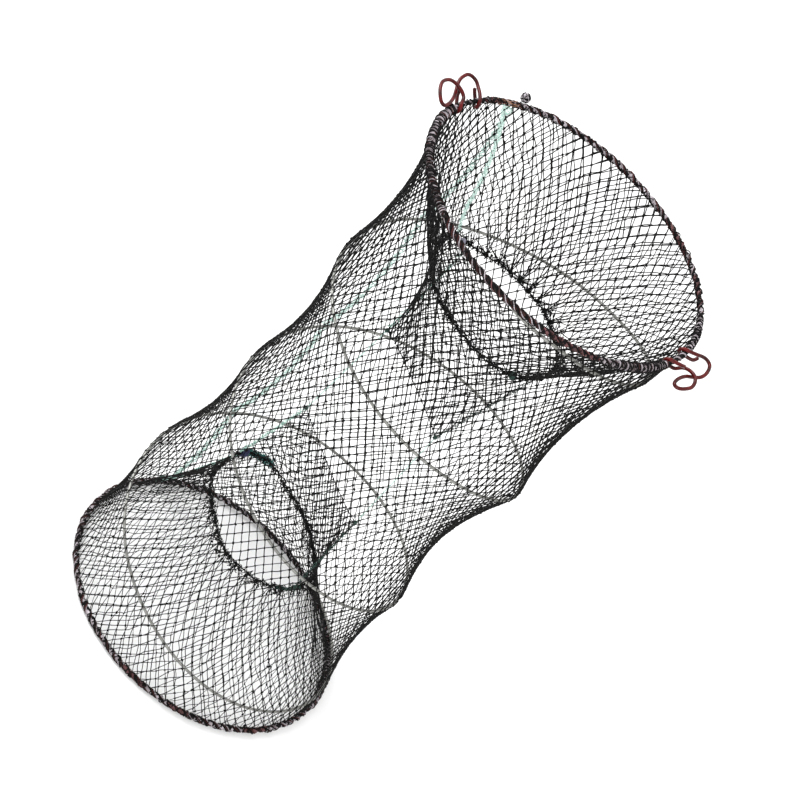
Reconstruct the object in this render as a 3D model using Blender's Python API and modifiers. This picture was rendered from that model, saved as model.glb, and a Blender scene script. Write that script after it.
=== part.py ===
"""Collapsible crayfish trap.

One length of galvanised spring wire is wound into a wide open coil between
two closed end hoops. A knotted net is drawn over the coil as a tube. At each
end the net turns in as a funnel to an inner mouth, and from half of each
mouth a net tongue runs further in, to close behind what has crawled inside.
Two green cords pull the two tongues tight against one another. A net seam
runs the length of the tube and along both funnels. Two bent, red coated wire
hooks are wound round the upper ring, on opposite sides, to hold the trap
shut once it has been pressed flat.

Frame: metres, +Z up along the trap's axis, the trap standing on its lower
ring, the floor at Z = 0, the two hooks on -X and +X.
"""
import math

import bmesh
import bpy
import numpy as np
from mathutils import Vector

# ------------------------------------------------------------------ sizes
RING_R = 0.1455        # centreline radius of both end rings
RING_GAP = 0.5957      # from the lower ring's centre to the upper ring's
WIRE_R = 0.0016        # 3.2 mm end hoops
SPRING_R = 0.0013      # 2.6 mm spring wire
WRAP_R = 0.0042        # twine wrapping, to its outside
WRAP_T = 0.0021        # how thick that wrapping is
CLEAR = 0.0003         # gap between pieces that only touch
Z_LOW = WRAP_R         # centre of the lower ring: the wrapping stands on Z = 0
Z_TOP = Z_LOW + RING_GAP

# Coil: height of the wire, as a share of RING_GAP, at every 60 degrees of
# travel, clockwise seen from above, from where it leaves the lower ring.
COIL_START = 70.5      # azimuth where the coil leaves the lower ring, degrees
COIL_STEP = 60.0
COIL_HEIGHTS = (0.0, 0.031, 0.066, 0.120, 0.186, 0.241, 0.265, 0.304, 0.358,
                0.415, 0.459, 0.506, 0.559, 0.619, 0.678, 0.713, 0.734, 0.767,
                0.834, 0.923, 0.986, 1.020)
COIL_WAIST = 0.095     # how much the middle turns are narrower than the rings
COIL_BOW = 0.03        # how far the middle of the coil stands towards +X
BAY_ENDS = (0.0, 0.25, 0.50, 0.75, 1.0)   # shares of RING_GAP, one bay a turn

NET_GAP = 0.0010       # from the coil wire to the net over it
NET_T = 0.0012         # thickness of the knotted net
NET_SIDES = 40

# Funnels: mouths as ellipses, in ring radii
MOUTH_DEPTH = 0.19     # share of RING_GAP
MOUTH_A = 0.52         # half length, along the line from corner to corner
MOUTH_B = 0.44         # half width
MOUTH_TURN = 157.0     # azimuth of the seam corner
LOWER_MOUTH = (-0.08, 0.10)
UPPER_MOUTH = (0.02, 0.10)
FUNNEL_EDGE = 0.0077   # the funnel's edge stands this far inside the ring

# Inner edges of the tongues: seam side corner, far corner (ring radii)
LOWER_TONGUE = ((-0.45, 0.16, 1.61), (0.30, 0.25, 1.25))
UPPER_TONGUE = ((-0.36, -0.10, 2.69), (0.32, -0.03, 2.40))

SEAM_AZ = 152.0        # the seam along the tube
CORD_R = 0.0008        # lacing, pull cords and mouth cords

# Hooks
HOOK_WIRE_R = 0.0016
EYE_R = 4.85           # centreline radius of the bends round the ring, mm
FOOT_AZ = 5.85         # each foot stands this far round from the hook's middle
EYE_IN = 3.2           # half widths of the gaps in the wrapping at a foot,
EYE_OUT = 2.85         # towards the hook's middle and away from it, degrees
HOOK_AZ = {-1: 176.0, 1: 1.4}        # azimuth of each hook's middle
HOOK_TILT = {-1: 28.0, 1: -2.0}      # the left hook stands up

L = RING_GAP
R = RING_R

# ------------------------------------------------------------------ scene
for old in list(bpy.data.objects):
    bpy.data.objects.remove(old, do_unlink=True)

scene = bpy.context.scene
group = bpy.data.collections.new("crayfish_trap")
scene.collection.children.link(group)


def material(name, colour, metal, rough):
    m = bpy.data.materials.new(name)
    m.use_nodes = True
    s = m.node_tree.nodes["Principled BSDF"]
    s.inputs["Base Color"].default_value = (*colour, 1.0)
    s.inputs["Metallic"].default_value = metal
    s.inputs["Roughness"].default_value = rough
    return m


WIRE = material("galvanised_wire", (0.33, 0.33, 0.32), 1.0, 0.42)
NET = material("black_green_net", (0.035, 0.04, 0.036), 0.0, 0.7)
TWINE = material("brown_black_twine", (0.055, 0.04, 0.04), 0.0, 0.8)
GREEN = material("green_cord", (0.25, 0.42, 0.36), 0.0, 0.7)
DARK_GREEN = material("dark_green_knot", (0.06, 0.12, 0.09), 0.0, 0.75)
BLUE = material("blue_knot", (0.09, 0.11, 0.18), 0.0, 0.75)
GREY = material("grey_twine", (0.42, 0.41, 0.47), 0.0, 0.75)
RED = material("red_coating", (0.52, 0.03, 0.035), 0.0, 0.3)


def frame(name, at):
    e = bpy.data.objects.new(name, None)
    e.location = at
    group.objects.link(e)
    return e


BASE = frame("base_frame", (0.0, 0.0, 0.0))
TOP = frame("top_frame", (0.0, 0.0, Z_TOP))
TURNS = [BASE] + [frame("turn_%d_frame" % (k + 1), (0.0, 0.0, Z_LOW + BAY_ENDS[k] * L))
                  for k in (1, 2, 3)]
# a hook turns about the line through the ring's middle at its two feet
HINGE_R = R * math.cos(math.radians(FOOT_AZ))
HOOKS = {side: frame("hook_%s_frame" % word,
                     (HINGE_R * math.cos(math.radians(HOOK_AZ[side])),
                      HINGE_R * math.sin(math.radians(HOOK_AZ[side])), Z_TOP))
         for side, word in ((-1, "left"), (1, "right"))}


def place(ob, parent):
    group.objects.link(ob)
    ob.parent = parent
    return ob


def local(points, parent):
    """World points in the parent frame (the frames are only shifted)."""
    o = Vector(parent.location)
    return [Vector(p) - o for p in points]


def wire(name, points, radius, mat, parent, cyclic=False, sides=8, caps=True, tilt=0.0):
    """A round wire, cord or hoop along a polyline."""
    cu = bpy.data.curves.new(name, "CURVE")
    cu.dimensions = "3D"
    cu.bevel_depth = radius
    cu.bevel_resolution = {4: 0, 6: 1, 8: 2}[sides]
    cu.use_fill_caps = caps and not cyclic
    sp = cu.splines.new("POLY")
    pts = local(points, parent)
    sp.points.add(len(pts) - 1)
    for p, q in zip(sp.points, pts):
        p.co = (q.x, q.y, q.z, 1.0)
        p.tilt = tilt
    sp.use_cyclic_u = cyclic
    sp.use_smooth = True
    cu.materials.append(mat)
    return place(bpy.data.objects.new(name, cu), parent)


def solidify(ob, thickness, offset):
    m = ob.modifiers.new("Thickness", "SOLIDIFY")
    m.thickness = thickness
    m.offset = offset
    m.use_even_offset = True
    return m


def loft(name, rows, thickness, offset, mat, parent, cyclic):
    """An open surface through rows of points, then given a thickness."""
    bm = bmesh.new()
    grid = [[bm.verts.new(q) for q in local(row, parent)] for row in rows]
    n = len(grid[0])
    for a, b in zip(grid[:-1], grid[1:]):
        for i in range(n if cyclic else n - 1):
            j = (i + 1) % n
            bm.faces.new((a[i], a[j], b[j], b[i]))
    for f in bm.faces:
        f.smooth = True
    me = bpy.data.meshes.new(name)
    bm.to_mesh(me)
    bm.free()
    me.materials.append(mat)
    ob = place(bpy.data.objects.new(name, me), parent)
    solidify(ob, thickness, offset)
    return ob


def ball(name, at, radii, mat, parent, level=2, turn=0.0):
    """A knot or a ball of twine, as a squashed sphere."""
    bm = bmesh.new()
    bmesh.ops.create_icosphere(bm, subdivisions=level, radius=1.0)
    bmesh.ops.scale(bm, vec=Vector(radii), verts=bm.verts)
    for f in bm.faces:
        f.smooth = True
    me = bpy.data.meshes.new(name)
    bm.to_mesh(me)
    bm.free()
    me.materials.append(mat)
    ob = place(bpy.data.objects.new(name, me), parent)
    ob.location = local([at], parent)[0]
    ob.rotation_euler = (0.0, 0.0, math.radians(turn))
    return ob


# --------------------------------------------------------------- geometry
def rising(values, step, t):
    """Smooth interpolation that never turns back between the given values."""
    y = np.asarray(values, float)
    d = np.diff(y) / step
    s = np.zeros(len(y))
    for i in range(1, len(y) - 1):
        if d[i - 1] * d[i] > 0:
            s[i] = 2 * d[i - 1] * d[i] / (d[i - 1] + d[i])
    s[0], s[-1] = d[0], d[-1]
    i = int(min(max(t // step, 0), len(d) - 1))
    h = (t - i * step) / step
    return float((2 * h ** 3 - 3 * h ** 2 + 1) * y[i] + (h ** 3 - 2 * h ** 2 + h) * step * s[i]
                 + (-2 * h ** 3 + 3 * h ** 2) * y[i + 1] + (h ** 3 - h ** 2) * step * s[i + 1])


def bulge(share):
    return 4.0 * share * (1.0 - share)


def coil_radius(share):
    """Centreline radius of the coil, narrower between the two rings."""
    return R * (1.0 - COIL_WAIST * min(1.0, 1.15 * bulge(share)))


def coil_point(t):
    """The wire's centre after t degrees of travel from the lower ring."""
    share = rising(COIL_HEIGHTS, COIL_STEP, t)
    r = coil_radius(share)
    a = math.radians(COIL_START - t)
    return Vector((r * math.cos(a) + COIL_BOW * R * bulge(share), r * math.sin(a),
                   Z_LOW + share * L))


def ring_point(az, z, grow=0.0):
    a = math.radians(az)
    return Vector(((R + grow) * math.cos(a), (R + grow) * math.sin(a), z))


def tube_point(az, share, grow):
    """A point on the net tube, grow outside the coil's centreline."""
    r = coil_radius(share) + grow
    a = math.radians(az)
    return Vector((r * math.cos(a) + COIL_BOW * R * bulge(share), r * math.sin(a),
                   Z_LOW + share * L))


def mouth_point(centre, phi, z, grow=0.0):
    """A point on a mouth's lip; phi = 0 is the seam corner."""
    p = math.radians(phi)
    t = math.radians(MOUTH_TURN)
    u = (MOUTH_A * R + grow) * math.cos(p)
    v = (MOUTH_B * R + grow) * math.sin(p)
    return Vector((centre[0] * R + u * math.cos(t) - v * math.sin(t),
                   centre[1] * R + u * math.sin(t) + v * math.cos(t), z))


Z_MOUTH = {"lower": Z_LOW + MOUTH_DEPTH * L, "upper": Z_TOP - MOUTH_DEPTH * L}
Z_RING = {"lower": Z_LOW, "upper": Z_TOP}
CENTRE = {"lower": LOWER_MOUTH, "upper": UPPER_MOUTH}
INTO = {"lower": 1.0, "upper": -1.0}        # which way is further in
HOST = {"lower": BASE, "upper": TOP}


def funnel_point(end, phi, u, lift=0.0):
    """A point on a funnel: u = 0 at the ring, 1 at the lip; lift moves it
    off the surface towards the inside of the trap."""
    def at(ph, w):
        outer = ring_point(MOUTH_TURN + ph, Z_RING[end], -FUNNEL_EDGE)
        return outer.lerp(mouth_point(CENTRE[end], ph, Z_MOUTH[end]), w)
    p = at(phi, u)
    if lift:
        along = at(phi, 1.0) - at(phi, 0.0)
        across = at(phi + 1.0, u) - at(phi - 1.0, u)
        n = along.cross(across).normalized()
        if n.z * INTO[end] < 0:
            n = -n
        p = p + n * lift
    return p


def sweep(start, end, count):
    return [start + (end - start) * i / (count - 1) for i in range(count)]


# ------------------------------------------------------------ lower ring
WRAP_C = WRAP_R / math.cos(math.pi / 8)      # corner radius of the 8-sided wrap
SEG = 360.0 / 64


def hoop(name, z, parent):
    return wire(name, [ring_point(i * SEG, z) for i in range(64)], WIRE_R, WIRE, parent,
                cyclic=True)


def wrap(name, az0, az1, z, parent):
    """Twine wound round a hoop between two azimuths, as a bored sleeve whose
    corners lie over the hoop's own, with a flat under it."""
    first = math.ceil(az0 / SEG + 0.05)
    last = math.floor(az1 / SEG - 0.05)
    az = [az0] + [i * SEG for i in range(first, last + 1)] + [az1]
    ob = wire(name, [ring_point(a, z) for a in az], WRAP_C, TWINE, parent, caps=False,
              tilt=math.radians(22.5))
    solidify(ob, WRAP_T, -1.0)
    return ob


hoop("lower_end_hoop", Z_LOW, BASE)
wrap("lower_ring_wrap", 157.5, 157.5 + 358.0, Z_LOW, BASE)

# ------------------------------------------------------------ upper ring
hoop("upper_end_hoop", Z_TOP, TOP)
for word, side in (("right", 1), ("left", -1)):
    wrap("upper_wrap_" + word, HOOK_AZ[side] - FOOT_AZ + EYE_IN, HOOK_AZ[side] + FOOT_AZ - EYE_IN,
         Z_TOP, TOP)
# the long wrappings stop short of the hooks' feet
wrap("upper_wrap_back", HOOK_AZ[1] + FOOT_AZ + EYE_OUT, HOOK_AZ[-1] - FOOT_AZ - EYE_OUT, Z_TOP, TOP)
wrap("upper_wrap_front", HOOK_AZ[-1] + FOOT_AZ + EYE_OUT, 360 + HOOK_AZ[1] - FOOT_AZ - EYE_OUT,
     Z_TOP, TOP)

# -------------------------------------------------------------- the coil
# The coil is drawn from where its wire clears the ring's wrapping.
LIFT = WRAP_C + WIRE_R + CLEAR
t0, t1 = 0.0, COIL_STEP * (len(COIL_HEIGHTS) - 1)
while coil_point(t0).z < Z_LOW + LIFT:
    t0 += 0.5
while coil_point(t1).z > Z_TOP - LIFT:
    t1 -= 0.5

turn_ends = [t0]
for share in BAY_ENDS[1:-1]:
    t = t0
    while coil_point(t).z < Z_LOW + share * L:
        t += 0.5
    turn_ends.append(t)
turn_ends.append(t1)
for k in range(4):
    a = turn_ends[k] + (0.15 if k else 0.0)
    b = turn_ends[k + 1] - (0.15 if k < 3 else 0.0)
    pts = [coil_point(t) for t in sweep(a, b, int((b - a) / 10) + 2)]
    wire("spring_turn_%d" % (k + 1), pts, SPRING_R, WIRE, TURNS[k])

# --------------------------------------------------------------- the net
BAY_LOW = (WRAP_C + CLEAR + 0.0001) / L
BAY_TOP = 1.0 - FUNNEL_EDGE / L
for k in range(4):
    a = BAY_LOW if k == 0 else BAY_ENDS[k] + 0.5 * CLEAR / L
    b = BAY_TOP if k == 3 else BAY_ENDS[k + 1] - 0.5 * CLEAR / L
    rows = [[tube_point(i * 360.0 / NET_SIDES, s, WIRE_R + NET_GAP) for i in range(NET_SIDES)]
            for s in sweep(a, b, 5)]
    loft("net_bay_%d" % (k + 1), rows, NET_T, 1.0, NET, TURNS[k], True)
    seam = [tube_point(SEAM_AZ, s, WIRE_R + NET_GAP + NET_T + CORD_R + CLEAR)
            for s in sweep(a + 0.004, b - 0.004, 5)]
    wire("tube_seam_lacing_%d" % (k + 1), seam, CORD_R, GREEN, TURNS[k], sides=6)

# ----------------------------------------------- funnels, mouths, tongues
for end in ("lower", "upper"):
    host, s = HOST[end], INTO[end]
    phis = [i * 360.0 / NET_SIDES for i in range(NET_SIDES)]
    rows = [[funnel_point(end, ph, u) for ph in phis] for u in (0.0, 0.34, 0.67, 0.985)]
    loft(end + "_funnel_net", rows, NET_T, 0.0, NET, host, True)
    z_lip = Z_MOUTH[end] + s * (0.5 * NET_T + CORD_R + CLEAR)
    wire(end + "_mouth_cord",
         [mouth_point(CENTRE[end], ph, z_lip) for ph in phis], CORD_R, NET, host,
         cyclic=True, sides=6)
    seam = [funnel_point(end, 0.0, u, 0.5 * NET_T + CORD_R + 2 * CLEAR) for u in sweep(0.04, 0.93, 5)]
    wire(end + "_funnel_seam", seam, CORD_R, GREEN, host, sides=6)

    # the tongue: from half of the lip to a straight inner edge
    near, far = [Vector(c) * R + Vector((0.0, 0.0, Z_LOW))
                 for c in (LOWER_TONGUE if end == "lower" else UPPER_TONGUE)]
    side = -1.0 if end == "lower" else 1.0
    z_root = z_lip + s * (CORD_R + CLEAR + 0.5 * NET_T + 0.0006)
    cols = 13
    root = [mouth_point(CENTRE[end], side * (6.0 + 168.0 * i / (cols - 1)), z_root)
            for i in range(cols)]
    tip = [near.lerp(far, i / (cols - 1)) for i in range(cols)]
    rows = [[root[i].lerp(tip[i], v) for i in range(cols)] for v in (0.0, 0.33, 0.67, 1.0)]
    loft(end + "_tongue_net", rows, NET_T, 0.0, NET, host, False)

    # lacing along both side edges of the tongue
    across = (tip[-1] - tip[0]).normalized()
    off = CORD_R + 0.5 * NET_T + 2 * CLEAR
    for word, i, sign in (("left", 0, -1.0), ("right", -1, 1.0)):
        a, b = root[i].lerp(tip[i], 0.09), root[i].lerp(tip[i], 0.94)
        j = 1 if i == 0 else -2
        inward = (root[i].lerp(tip[i], 0.5) - root[j].lerp(tip[j], 0.5)).normalized()
        run = (b - a).normalized()
        out = (inward - run * inward.dot(run)).normalized() * (off + 0.0004)
        wire("%s_tongue_lacing_%s" % (end, word), [a + out, (a + b) / 2 + out, b + out],
             CORD_R, GREEN if word == "left" else DARK_GREEN, host, sides=6)

    # knots at the mouth's two corners, on the funnel's inside
    left_mat, right_mat = (BLUE, DARK_GREEN) if end == "lower" else (GREY, DARK_GREEN)
    left_phi, right_phi = (-6.0, 180.0) if end == "lower" else (7.0, 160.0)
    for word, ph, mat in (("left", left_phi, left_mat), ("right", right_phi, right_mat)):
        at = mouth_point(CENTRE[end], ph, z_lip + s * 0.0006, 0.0046)
        ball("%s_mouth_knot_%s" % (end, word), at, (0.0034, 0.0026, 0.0026), mat, host,
             turn=MOUTH_TURN)

# ------------------------------------------- tongue knots and pull cords
KNOT = 0.0022
for word, k in (("left", 0), ("right", 1)):
    a = Vector(LOWER_TONGUE[k]) * R + Vector((0.0, 0.0, Z_LOW))
    b = Vector(UPPER_TONGUE[k]) * R + Vector((0.0, 0.0, Z_LOW))
    run = (b - a).normalized()
    ka, kb = a + run * (KNOT + 0.0012), b - run * (KNOT + 0.0012)
    ball("lower_tongue_knot_" + word, ka, (KNOT,) * 3, DARK_GREEN, BASE)
    ball("upper_tongue_knot_" + word, kb, (KNOT,) * 3, DARK_GREEN, TOP)
    gap = KNOT + CLEAR
    pts = [(ka + run * gap).lerp(kb - run * gap, i / 6) for i in range(7)]
    wire("pull_cord_" + word, pts, CORD_R, GREEN, BASE, sides=6)

# ------------------------------------------------- knots on the two rings
a = math.radians(152.0)
reach = WRAP_C + 0.0030 + CLEAR
ball("lower_ring_knot", ring_point(152.0, Z_LOW + reach * 0.98, -0.0022),
     (0.0023, 0.0034, 0.0030), DARK_GREEN, BASE, turn=152.0)
reach = WRAP_C + 0.0045 + CLEAR
ball("upper_twine_ball", ring_point(146.4, Z_TOP + reach * 0.62, reach * 0.80),
     (0.0044, 0.0045, 0.0044), TWINE, TOP, turn=146.4)


# ----------------------------------------------------------------- hooks
# Each hook is one bent wire. Its two feet turn round the ring; from the
# first foot the wire goes round a closed lobe, crosses itself and goes round
# an open lobe to the second foot. Points in millimetres from the middle of
# the hinge line: outwards, along the ring towards +Y, up from the hook's own
# plane. The step up at the crossing is more than the wire's thickness.
FIRST_END = {1: ((9.3, -2.5, 0.9), (7.2, -8.4, 3.0)), -1: ((13.2, -2.9, -1.9), (9.4, -4.5, -5.2))}
HOOK_RUN = {
    1: ((5.4, -7.0, -5.0), (8.8, 1.5, -3.8), (12.8, 2.5, -1.2), (18.3, -0.5, 1.9), (22.8, -2.6, 2.1),
        (26.0, -6.5, 1.0), (27.4, -13.5, 0.0), (25.3, -22.0, -0.5), (22.4, -27.8, -1.0),
        (19.4, -30.4, -1.0), (16.7, -29.6, -1.0), (15.3, -25.0, -1.2), (15.1, -16.0, -1.6),
        (16.8, -6.0, -1.9), (20.8, 2.3, -1.9), (24.4, 9.5, -1.0), (25.1, 17.7, 0.0),
        (23.2, 26.6, 0.5), (20.1, 31.6, 1.0), (15.8, 31.5, 2.0), (11.8, 27.5, 3.3), (7.3, 20.0, 4.6)),
    -1: ((5.2, -10.4, 4.2), (10.7, -8.8, 3.2), (16.7, -10.2, 1.8), (21.7, -15.0, 1.0),
         (24.0, -21.5, 1.0), (23.5, -30.4, 1.6), (19.4, -37.3, 2.6), (13.7, -41.8, 3.6),
         (7.7, -44.4, 4.6), (4.2, -43.6, 5.2), (3.1, -39.6, 5.0), (4.5, -31.0, 3.8),
         (7.9, -20.0, 0.8), (12.5, -11.1, -1.6), (18.0, -4.4, -2.5), (22.0, 1.0, -2.0),
         (24.0, 8.0, -1.4), (24.0, 13.7, -0.9), (21.4, 19.3, -0.7), (16.9, 22.2, 0.0),
         (11.7, 20.4, 1.4), (6.2, 16.6, 3.6))}
LAST_END = {1: ((8.0, 22.2, -3.6), (9.8, 26.0, -0.5)), -1: ((6.0, 19.8, -4.6), (11.0, 19.0, -2.6))}


def through(points, per):
    """A smooth run through the given points (Catmull-Rom)."""
    out = []
    for i in range(len(points) - 1):
        p0, p1 = points[max(i - 1, 0)], points[i]
        p2, p3 = points[i + 1], points[min(i + 2, len(points) - 1)]
        for j in range(per):
            f = j / per
            out.append(0.5 * (2 * p1 + (p2 - p0) * f + (2 * p0 - 5 * p1 + 4 * p2 - p3) * f * f
                              + (3 * p1 - p0 - 3 * p2 + p3) * f ** 3))
    out.append(points[-1])
    return out


def foot_bend(along):
    """The bend round the ring at a foot, from over the ring to under it. It
    leans a little along the ring."""
    out = []
    for i in range(6):
        turn = 78.0 + 202.0 * i / 5
        a = math.radians(turn)
        out.append((EYE_R * math.cos(a), along - 4.5 + 8.2 * ((turn - 150.0) / 130.0) ** 2,
                    EYE_R * math.sin(a)))
    return out


def hook(name, side):
    """side -1 for the hook on -X, 1 for the one on +X."""
    host = HOOKS[side]
    foot = 1000.0 * R * math.sin(math.radians(FOOT_AZ))
    first = foot_bend(-foot)
    if side < 0:            # this wire comes from under the ring at its first foot
        first.reverse()
    pts = list(FIRST_END[side]) + first + list(HOOK_RUN[side]) + foot_bend(foot) + list(LAST_END[side])
    a, t = math.radians(HOOK_AZ[side]), math.radians(HOOK_TILT[side])
    out = Vector((math.cos(a), math.sin(a), 0.0))
    along = Vector((-math.sin(a), math.cos(a), 0.0)) * side
    u = out * math.cos(t) + Vector((0.0, 0.0, math.sin(t)))
    w = -out * math.sin(t) + Vector((0.0, 0.0, math.cos(t)))
    o = Vector(host.location)
    world = [o + (u * p.x + along * p.y + w * p.z) / 1000.0
             for p in through([Vector(p) for p in pts], 4)]
    wire(name, world, HOOK_WIRE_R, RED, host)


hook("hook_left", -1)
hook("hook_right", 1)
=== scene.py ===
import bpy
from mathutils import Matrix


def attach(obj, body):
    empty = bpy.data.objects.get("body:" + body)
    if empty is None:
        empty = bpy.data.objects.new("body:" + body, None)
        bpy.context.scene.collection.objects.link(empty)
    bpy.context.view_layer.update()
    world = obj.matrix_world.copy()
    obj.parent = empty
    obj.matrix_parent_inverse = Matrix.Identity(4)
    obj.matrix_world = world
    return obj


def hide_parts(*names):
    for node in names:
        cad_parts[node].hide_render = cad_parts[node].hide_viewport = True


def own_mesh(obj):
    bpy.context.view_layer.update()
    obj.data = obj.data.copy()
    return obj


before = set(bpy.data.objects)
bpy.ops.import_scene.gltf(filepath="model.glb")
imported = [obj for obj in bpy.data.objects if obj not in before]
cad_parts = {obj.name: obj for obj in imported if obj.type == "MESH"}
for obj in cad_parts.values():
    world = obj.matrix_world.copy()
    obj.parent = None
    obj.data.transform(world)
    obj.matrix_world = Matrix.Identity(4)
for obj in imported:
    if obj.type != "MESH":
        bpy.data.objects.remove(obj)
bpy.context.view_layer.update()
import math

import bpy
import numpy as np
from mathutils import Matrix, Vector

# --------------------------------------------------------------- sizes (m)
R = 0.1455             # ring centreline radius
L = 0.5957             # ring centre to ring centre
Z0 = 0.0042            # lower ring's centre
Z1 = Z0 + L
WIRE = 0.00140
HOOP = 0.0016
MESHES = 80            # meshes round the tube
FINE = 88              # meshes round each funnel
ROWS = 74              # half rows along the tube
THREAD = 0.00047
RNG = np.random.default_rng(41)

# ------------------------------------------------------------------ camera
# Fitted to the two rings in the photograph.
cam_data = bpy.data.cameras.new("camera")
cam = bpy.data.objects.new("camera", cam_data)
bpy.context.scene.collection.objects.link(cam)
right = Vector((0.62822797, 0.53394175, 0.56589383))
down = Vector((0.76365847, -0.28402371, -0.57978985))
ahead = Vector((-0.14884674, 0.79638982, -0.58618078))
cam.matrix_world = Matrix.Translation((0.37099991, -1.99493172, 1.81486914)) @ Matrix(
    (right, -down, -ahead)).transposed().to_4x4()
cam_data.sensor_fit = "HORIZONTAL"
cam_data.sensor_width = 36.0
cam_data.lens = 36.0 * 2737.504 / 800.0
cam_data.clip_start, cam_data.clip_end = 0.05, 50.0
bpy.context.scene.camera = cam
bpy.context.scene.view_settings.view_transform = "Standard"


# --------------------------------------------------------------- materials
def shader(name, colour, rough, metal=0.0, vary=0.25, scale=160.0, coat=0.0, bump=0.0,
           bump_scale=900.0, second=None, share=0.5, spec=0.5, sheen=0.0):
    """A Principled material whose colour and roughness wander with the place."""
    m = bpy.data.materials.new(name)
    m.use_nodes = True
    nt = m.node_tree
    p = nt.nodes["Principled BSDF"]
    p.inputs["Metallic"].default_value = metal
    p.inputs["Specular IOR Level"].default_value = spec
    if coat:
        p.inputs["Coat Weight"].default_value = coat
        p.inputs["Coat Roughness"].default_value = 0.12
    if sheen:
        p.inputs["Sheen Weight"].default_value = sheen
    tc = nt.nodes.new("ShaderNodeTexCoord")
    noise = nt.nodes.new("ShaderNodeTexNoise")
    noise.inputs["Scale"].default_value = scale
    noise.inputs["Detail"].default_value = 3.0
    nt.links.new(tc.outputs["Object"], noise.inputs["Vector"])
    ramp = nt.nodes.new("ShaderNodeValToRGB")
    dark = [c * (1 - vary) for c in colour]
    light = [min(1.0, c * (1 + vary)) for c in colour] if second is None else second
    e = ramp.color_ramp.elements
    e[0].position, e[0].color = 0.5 - share * 0.4, (*dark, 1)
    e[1].position, e[1].color = 0.5 + share * 0.4, (*light, 1)
    nt.links.new(noise.outputs["Fac"], ramp.inputs["Fac"])
    nt.links.new(ramp.outputs["Color"], p.inputs["Base Color"])
    rr = nt.nodes.new("ShaderNodeMapRange")
    rr.inputs["To Min"].default_value = max(0.02, rough - 0.1)
    rr.inputs["To Max"].default_value = min(1.0, rough + 0.1)
    nt.links.new(noise.outputs["Fac"], rr.inputs["Value"])
    nt.links.new(rr.outputs["Result"], p.inputs["Roughness"])
    if bump:
        n2 = nt.nodes.new("ShaderNodeTexNoise")
        n2.inputs["Scale"].default_value = bump_scale
        n2.inputs["Detail"].default_value = 2.0
        nt.links.new(tc.outputs["Object"], n2.inputs["Vector"])
        b = nt.nodes.new("ShaderNodeBump")
        b.inputs["Strength"].default_value = bump
        b.inputs["Distance"].default_value = 0.0004
        nt.links.new(n2.outputs["Fac"], b.inputs["Height"])
        nt.links.new(b.outputs["Normal"], p.inputs["Normal"])
    return m


M_NET = shader("net_thread", (0.0035, 0.0036, 0.0034), 0.62, spec=0.10, vary=0.5, scale=420.0, bump=0.3,
               bump_scale=2600.0)
M_WIRE = shader("galvanised", (0.235, 0.235, 0.222), 0.40, metal=0.6, vary=0.35, scale=200.0,
                bump=0.25, bump_scale=1500.0)
M_HOOP = shader("hoop_wire", (0.20, 0.17, 0.175), 0.42, metal=0.5, vary=0.35, scale=160.0,
                bump=0.25, bump_scale=1500.0)
# ring twine: its own mid lilac tone, mottled with a pale lavender that is painted highlight on the dark glossy
# twine
M_TWINE_PAINTED_HIGHLIGHT = shader("ring_twine", (0.22, 0.17, 0.185), 0.42, vary=0.45, scale=120.0,
                 second=(0.60, 0.55, 0.59), share=0.55, bump=0.5, bump_scale=2400.0, spec=0.6)
M_TWINE_RED = shader("ring_twine_red", (0.075, 0.014, 0.014), 0.45, vary=0.5, scale=110.0,
                     second=(0.18, 0.065, 0.07), share=0.5, bump=0.5, bump_scale=2400.0)
M_TWINE_DARK = shader("ring_twine_dark", (0.006, 0.0035, 0.0035), 0.5, vary=0.5, scale=60.0,
                      second=(0.070, 0.016, 0.015), share=0.4, bump=0.5, bump_scale=2400.0, spec=0.2)
M_CORE = shader("ring_core", (0.005, 0.0038, 0.004), 0.7, vary=0.4, scale=300.0, bump=0.5, spec=0.12)
M_ORANGE = shader("orange_twine", (0.17, 0.062, 0.026), 0.5, vary=0.5, scale=260.0,
                  second=(0.42, 0.21, 0.12), share=0.5, bump=0.4)
# twine ball: its own dark lilac tone, mottled with a pale tone that is painted highlight on the loops
M_BALL_PAINTED_HIGHLIGHT = shader("ball_twine_painted_highlight", (0.16, 0.13, 0.15), 0.5, vary=0.5, scale=300.0,
                second=(0.62, 0.58, 0.62), share=0.5, bump=0.4)
M_GREEN = shader("pale_green_thread", (0.42, 0.66, 0.57), 0.6, vary=0.22, scale=260.0, bump=0.3)
M_MINT = shader("mint_thread", (0.60, 0.80, 0.73), 0.65, vary=0.15, scale=260.0, bump=0.2)
M_DGREEN = shader("dark_green_thread", (0.010, 0.040, 0.028), 0.6, vary=0.5, scale=500.0, bump=0.3)
M_TEAL = shader("teal_thread", (0.030, 0.16, 0.14), 0.6, vary=0.5, scale=400.0, bump=0.3)
M_BLUE = shader("blue_thread", (0.016, 0.022, 0.075), 0.55, vary=0.4, scale=500.0, bump=0.3)
M_GREY = shader("grey_thread", (0.30, 0.29, 0.36), 0.6, vary=0.4, scale=500.0, bump=0.3)
M_RED = shader("red_coating", (0.028, 0.0016, 0.0016), 0.34, vary=0.35, scale=120.0,
               second=(0.115, 0.0042, 0.0042), share=0.55, bump=0.12, bump_scale=700.0, spec=0.22)


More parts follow.
